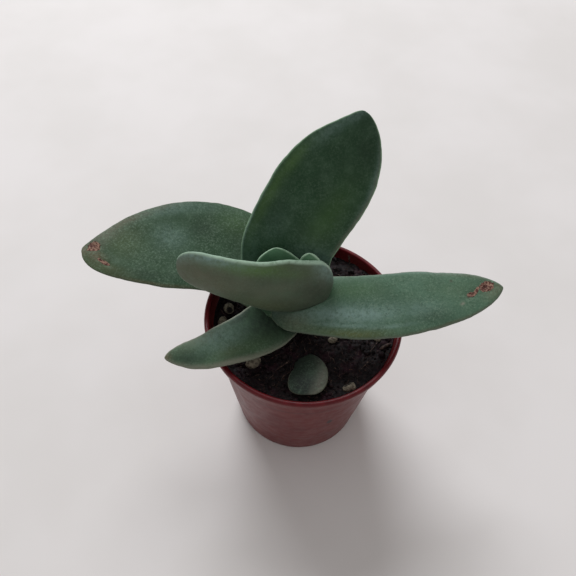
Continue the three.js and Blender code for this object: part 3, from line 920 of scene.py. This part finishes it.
def pot_object(name):
    """The pot with rounded edges, faint waves in its wall and its drain holes."""
    profile = divided(rounded(pot_profile(), 0.35), 0.8)
    turn = len(profile) - 1 - int(np.argmax(profile[::-1, 1] > POT_HEIGHT - 0.02))
    is_inner = np.arange(len(profile)) > turn
    sides = 220
    rings, ends = turned_points(profile, sides)
    radius, z = profile[1:-1, 0], profile[1:-1, 1]
    on_wall = ~is_inner[1:-1] & (z > 1.0) & (z < COLLAR_Z - 0.6)
    ripple = np.where(on_wall, 0.006 * np.sin(z * 1.9), 0)
    ripple = ripple + np.where(on_wall & (np.abs(z - WALL_STEP_Z) < 0.45), 0.04, 0)
    scale = (1 + ripple / np.maximum(radius, 1))[:, None, None]
    rings = rings * np.concatenate([np.repeat(scale, 2, axis=2), np.ones_like(scale)], axis=2)
    bow = 0.05 * noise(rings * [1, 1, 0.3], 16, 5)
    rings[..., :2] *= (1 + bow / 25)[..., None]
    inside = np.repeat((is_inner[1:-1] & (z < POT_HEIGHT - 0.5)).astype(float), sides)
    lip = np.repeat(smoothstep(z, POT_HEIGHT - 0.8, POT_HEIGHT - 0.3) * (radius > 20), sides)
    everything = np.concatenate([rings.reshape(-1, 3), ends])
    values = {"inside": inside, "lip": lip}
    values = {key: np.append(numbers, [0, 0]) for key, numbers in values.items()}
    made = face_out(mesh_object(name, everything, ring_faces(len(rings), sides), values))
    drills = drain_drills()
    cut(made, drills)
    removed(drills)
    return made


# Soil


def plain_hash(x, y):
    """The same repeatable noise that the solid's surface has, at whole-number points."""
    s = np.sin(x * 127.1 + y * 311.7) * 43758.5453
    return s - np.floor(s)


def plain_noise(x, y):
    """That noise, blended smoothly between the points."""
    i, j = np.floor(x), np.floor(y)
    u, v = x - i, y - j
    u, v = u * u * (3 - 2 * u), v * v * (3 - 2 * v)
    low = plain_hash(i, j) * (1 - u) + plain_hash(i + 1, j) * u
    high = plain_hash(i, j + 1) * (1 - u) + plain_hash(i + 1, j + 1) * u
    return low * (1 - v) + high * v


def soil_height(x, y):
    """The solid's surface, with finer crumbs on it."""
    x, y = np.asarray(x, float), np.asarray(y, float)
    coarse = 1.6 * plain_noise(x / 9 + 3, y / 9)
    middling = 1.2 * plain_noise(x / 3.1, y / 3.1 + 8)
    fine = 0.9 * plain_noise(x / 1.3 + 5, y / 1.3)
    bank = smoothstep(np.hypot(x, y), SHOULDER_RADIUS - SOIL_BANK_WIDTH, SHOULDER_RADIUS)
    relief = SOIL_RELIEF * (1 - 0.6 * bank) * (coarse + middling + fine - 1.85)
    base = SOIL_Z + SOIL_TILT * x + SOIL_BANK_RISE * bank + relief
    points = np.stack([x, y, np.zeros_like(x)], -1)
    crumbs = 0.5 * np.abs(noise(points, 1.2, 11)) + 0.3 * np.abs(noise(points, 0.6, 12)) - 0.3
    return base + crumbs


def soil_object(name, cutters):
    """The soil that fills the pot, with room for the stem, the leaf that lies in it and the grains."""
    edge = COLLAR_INSIDE_RADIUS - 0.15
    bottom = FLOOR_Z + 0.15
    rings_out = 112
    profile = [
        (0, bottom),
        (wall_radius(bottom) - WALL - 0.9, bottom),
        (SHOULDER_RADIUS - WALL - 0.4, COLLAR_Z - 0.8),
        (edge - 0.4, COLLAR_Z + 0.4),
    ]
    profile += [(edge * (1 - i / rings_out), POT_HEIGHT) for i in range(rings_out + 1)]
    sides = 360
    rings, ends = turned_points(profile, sides)
    top = rings[..., 2] > POT_HEIGHT - 0.5
    rings[top, 2] = soil_height(rings[top][:, 0], rings[top][:, 1])
    ends[1, 2] = soil_height(0.0, 0.0)
    everything = np.concatenate([rings.reshape(-1, 3), ends])
    made = face_out(mesh_object(name, everything, ring_faces(len(rings), sides)))
    return cut(made, cutters)


LUMP_COUNT = 620
LUMP_RADII = (0.18, 0.85)
# How far a lump's centre stands out of the soil, as a share of its radius
LUMP_RISE = 0.35


def lumps(seed, clear_of):
    """Many small irregular lumps on the soil, as one set of points and faces."""
    random = np.random.default_rng(seed)
    shape, triangles = unit_ball(2)
    smallest, largest = LUMP_RADII
    points, faces = [], []
    total = 0
    while total < LUMP_COUNT:
        radius = smallest + (largest - smallest) * random.random() ** 2.5
        reach = (COLLAR_INSIDE_RADIUS - 0.3 - radius) * math.sqrt(random.random())
        angle = random.random() * 2 * math.pi
        turn = random.normal(size=(3, 3))
        stretch = radius * random.uniform(0.6, 1.2, 3)
        x, y = reach * math.cos(angle), reach * math.sin(angle)
        centre = np.array([x, y, float(soil_height(x, y)) + radius * LUMP_RISE])
        if any(tree.find_nearest(Vector(centre), radius * 1.3)[0] for tree in clear_of):
            continue
        basis, _ = np.linalg.qr(turn)
        rough = 1 + 0.35 * noise(shape * 1.6 + total * 7.3, 1.0, seed)
        body = (shape * rough[:, None] * stretch) @ basis.T + centre
        points.append(body)
        faces.append(triangles + total * len(shape))
        total += 1
    return np.concatenate(points), np.concatenate(faces).tolist()


def strand(path, radius, sides=6):
    """A thin tapering tube along a path, closed at both ends."""
    path = np.asarray(path, float)
    along = unit(np.gradient(path, axis=0))
    level = unit(np.cross(along, [0.13, 0.2, 1.0]))
    up = np.cross(along, level)
    angle = 2 * np.pi * np.arange(sides) / sides
    taper = radius * np.sqrt(np.clip(1 - np.linspace(-1, 1, len(path)) ** 4, 0.05, 1))
    wheel = level[:, None] * np.cos(angle)[None, :, None] + up[:, None] * np.sin(angle)[None, :, None]
    rings = path[:, None] + wheel * taper[:, None, None]
    return np.concatenate([rings.reshape(-1, 3), [path[0], path[-1]]]), ring_faces(len(path), sides)


FIBRE_COUNT = 260
FIBRE_POINTS = 12
# Larger bits among the fibres: a flake of bark, a twig against the back of the rim, and three long fibres.
# Each has its two ends and its radius.
STICKS = [
    ((21.1, -8.3, 45.0), (24.3, -6.5, 45.2), 0.5),
    ((13.6, 20.8, 44.8), (13.0, 21.4, 48.2), 0.22),
    ((18.4, -9.1, 44.7), (20.7, -5.9, 44.9), 0.14),
    ((15.5, -14.8, 44.6), (18.3, -11.6, 44.7), 0.13),
    ((-7.1, -15.9, 44.2), (-3.3, -12.7, 44.3), 0.12),
]


def strands(seed, clear_of):
    """Short crooked fibres on the soil and the larger bits among them, as one set of points and faces."""
    random = np.random.default_rng(seed)
    points, faces = [], []
    offset = made = 0
    while made < FIBRE_COUNT:
        reach = (COLLAR_INSIDE_RADIUS - 2) * math.sqrt(random.random())
        angle = random.random() * 2 * math.pi
        start = np.array([reach * math.cos(angle), reach * math.sin(angle)])
        length = random.uniform(0.8, 3.6)
        heading = random.random() * 2 * math.pi + np.cumsum(random.normal(0, 0.22, FIBRE_POINTS))
        steps = np.stack([np.cos(heading), np.sin(heading)], -1) * length / FIBRE_POINTS
        run = np.cumsum(steps, axis=0) + start
        radius = random.uniform(0.05, 0.11)
        lift = radius * 0.8 + random.uniform(0.0, 0.35) * np.sin(np.linspace(0, np.pi, FIBRE_POINTS))
        path = np.column_stack([run, soil_height(run[:, 0], run[:, 1]) + lift])
        path[1:-1, 2] = (path[:-2, 2] + 2 * path[1:-1, 2] + path[2:, 2]) / 4
        if np.hypot(run[:, 0], run[:, 1]).max() > COLLAR_INSIDE_RADIUS - 0.6:
            continue
        if any(tree.find_nearest(Vector(p), 0.3)[0] for tree in clear_of for p in path):
            continue
        body, around = strand(path, radius)
        points.append(body)
        faces.extend([[i + offset for i in f] for f in around])
        offset += len(body)
        made += 1
    for start, end, radius in STICKS:
        run = np.linspace(start, end, FIBRE_POINTS)
        run[:, 2] += 0.15 * noise(run, 1.5, seed)
        body, around = strand(run, radius, 8)
        points.append(body)
        faces.extend([[i + offset for i in f] for f in around])
        offset += len(body)
    return np.concatenate(points), faces


def grain_object(name, grain, seed, grow=0.0, fine=True):
    """A rough grain or, where it isn't fine, the plain room that it needs in the soil."""
    shape, triangles = unit_ball(5 if fine else 3)
    rough = 0.96 + 0.16 * noise(shape, 0.9, seed) + 0.05 * noise(shape, 0.35, seed + 1)
    hollow = np.zeros(len(shape))
    if "hollow" in grain:
        toward = unit(np.array(grain["hollow"]))
        hollow = smoothstep(shape @ toward + 0.12 * noise(shape, 0.5, seed + 3), 0.62, 0.95)
        rough = rough - 0.32 * hollow
    if fine:
        rough = rough + 0.025 * noise(shape, 0.14, seed + 2)
    body = shape * rough[:, None] * (np.array(grain["half"]) + grow)
    c, s = math.cos(grain["turn"]), math.sin(grain["turn"])
    body = body @ np.array([[c, s, 0], [-s, c, 0], [0, 0, 1]]) + np.array(grain["centre"])
    return face_out(mesh_object(name, body, triangles.tolist(), {"hollow": hollow}))


def tree_of(made):
    """A piece's surface in millimetres, for finding what lies near it."""
    points = np.array([v.co for v in made.data.vertices]) / MM
    return BVHTree.FromPolygons([Vector(p) for p in points], [tuple(p.vertices) for p in made.data.polygons])


# The plant

leaf_names = list(LEAVES)
skins = {name: leaf_material(name) for name in leaf_names}
blades = {name: leaf_object(name, SEED + 10 * i) for i, name in enumerate(leaf_names)}
rooms = {name: leaf_cutter(name) for name in leaf_names}
stem_room = stem_object("room_stem", GAP, fine=False)
for i, name in enumerate(leaf_names):
    cut(blades[name], [stem_room] + [rooms[younger] for younger in leaf_names[i + 1 :]])
    finished(blades[name], skins[name], "leaf_skin", name)
finished(stem_object("stem_scarred"), stem_material(), "stem_skin", "stem")

# The pot, the soil and what lies on it

finished(pot_object("pot_moulded"), pot_material(), "pot_plastic", "pot")
mineral = grain_material()
grain_rooms = []
grain_pieces = []
for i, (name, grain) in enumerate(GRAINS.items()):
    grain_rooms.append(grain_object("room_" + name, grain, 40 + 5 * i, GAP, fine=False))
    grain_pieces.append(grain_object(name + "_rough", grain, 40 + 5 * i))
    finished(grain_pieces[-1], mineral, "pale_grain", name)

peat_tints = colour(10, 4, 7), colour(42, 24, 25), colour(48, 16, 30), colour(104, 80, 62)
fibre_tints = colour(50, 36, 34), colour(112, 92, 80), colour(74, 46, 54), colour(150, 132, 114)
peat = soil_material("potting_soil_peat", *peat_tints)
fibre = soil_material("potting_soil_fibre", *fibre_tints)
soil = soil_object("soil_crumbled", [stem_room, rooms["leaf_old"]] + grain_rooms)
finished(soil, peat, "potting_soil", "soil")
clear_of = [tree_of(made) for made in grain_pieces + [blades["leaf_old"], blades["leaf_low"]]]
crumb_points, crumb_faces = lumps(SEED, clear_of)
finished(face_out(mesh_object("soil_crumbs", crumb_points, crumb_faces)), peat, "potting_soil")
strand_points, strand_faces = strands(SEED + 1, clear_of)
finished(face_out(mesh_object("soil_fibres", strand_points, strand_faces)), fibre, "potting_soil")

removed(list(rooms.values()) + grain_rooms + [stem_room])


# Floor, lights and camera

# Metres from the middle of the floor to its edges
FLOOR_REACH = 1.5
WINDOW_AT = (-0.4, 1.2, 1.15)
WINDOW_AIM = (0, 0, 0.03)
WINDOW_SIZE = 1.0
WINDOW_WATTS = 23.0
WINDOW_TINT = (0.97, 0.99, 1.02)
ROOM_TINT = (0.96, 0.935, 0.93, 1.0)
ROOM_STRENGTH = 0.42
# The camera's place and direction come from a separate fit to the pot's rim, collar, wall and foot in the
# photo, for a focal length that was chosen. The photo's width and the focal length are in pixels.
PHOTO_WIDTH = 576
FOCAL_LENGTH = 600
CAMERA_AT = (-0.00465, -0.09154, 0.18644)
CAMERA_RIGHT = Vector((0.99905, 0.03533, 0.02558))
CAMERA_UP = Vector((-0.04362, 0.80927, 0.58581))


def floor_object():
    size = FLOOR_REACH
    s = Shader("floor_pale")
    base = s.mix(s.span(s.noise(60, 3), 0.3, 0.7), colour(226, 222, 219), colour(232, 228, 226))
    material = s.finish(base, 0.7, s.bump(s.noise(3, 2), 0.05, 0.1), Specular_IOR_Level=0.3)
    mesh = bpy.data.meshes.new("floor")
    corners = [(-size, -size, 0), (size, -size, 0), (size, size, 0), (-size, size, 0)]
    mesh.from_pydata(corners, [], [(0, 1, 2, 3)])
    mesh.materials.append(material)
    floor = bpy.data.objects.new("floor", mesh)
    bpy.context.scene.collection.objects.link(floor)


def area_light(name, place, aim, size, watts, tint):
    """A round soft light at a place, turned to look at aim."""
    light = bpy.data.lights.new(name, "AREA")
    light.shape = "DISK"
    light.size = size
    light.energy = watts
    light.color = tint
    made = bpy.data.objects.new(name, light)
    made.location = place
    made.rotation_euler = (Vector(aim) - Vector(place)).to_track_quat("-Z", "Y").to_euler()
    bpy.context.scene.collection.objects.link(made)


floor_object()
area_light("window", WINDOW_AT, WINDOW_AIM, WINDOW_SIZE, WINDOW_WATTS, WINDOW_TINT)

world = bpy.data.worlds.new("studio")
world.use_nodes = True
background = world.node_tree.nodes["Background"]
background.inputs["Color"].default_value = ROOM_TINT
background.inputs["Strength"].default_value = ROOM_STRENGTH
bpy.context.scene.world = world
bpy.context.scene.view_settings.view_transform = "Standard"

camera = bpy.data.cameras.new("camera")
camera.sensor_width = 36
camera.lens = camera.sensor_width * FOCAL_LENGTH / PHOTO_WIDTH
camera.clip_start = 0.01
view = bpy.data.objects.new("camera", camera)
turn = Matrix((CAMERA_RIGHT, CAMERA_UP, CAMERA_RIGHT.cross(CAMERA_UP))).transposed()
view.matrix_world = Matrix.Translation(CAMERA_AT) @ turn.to_4x4()
bpy.context.scene.collection.objects.link(view)
bpy.context.scene.camera = view
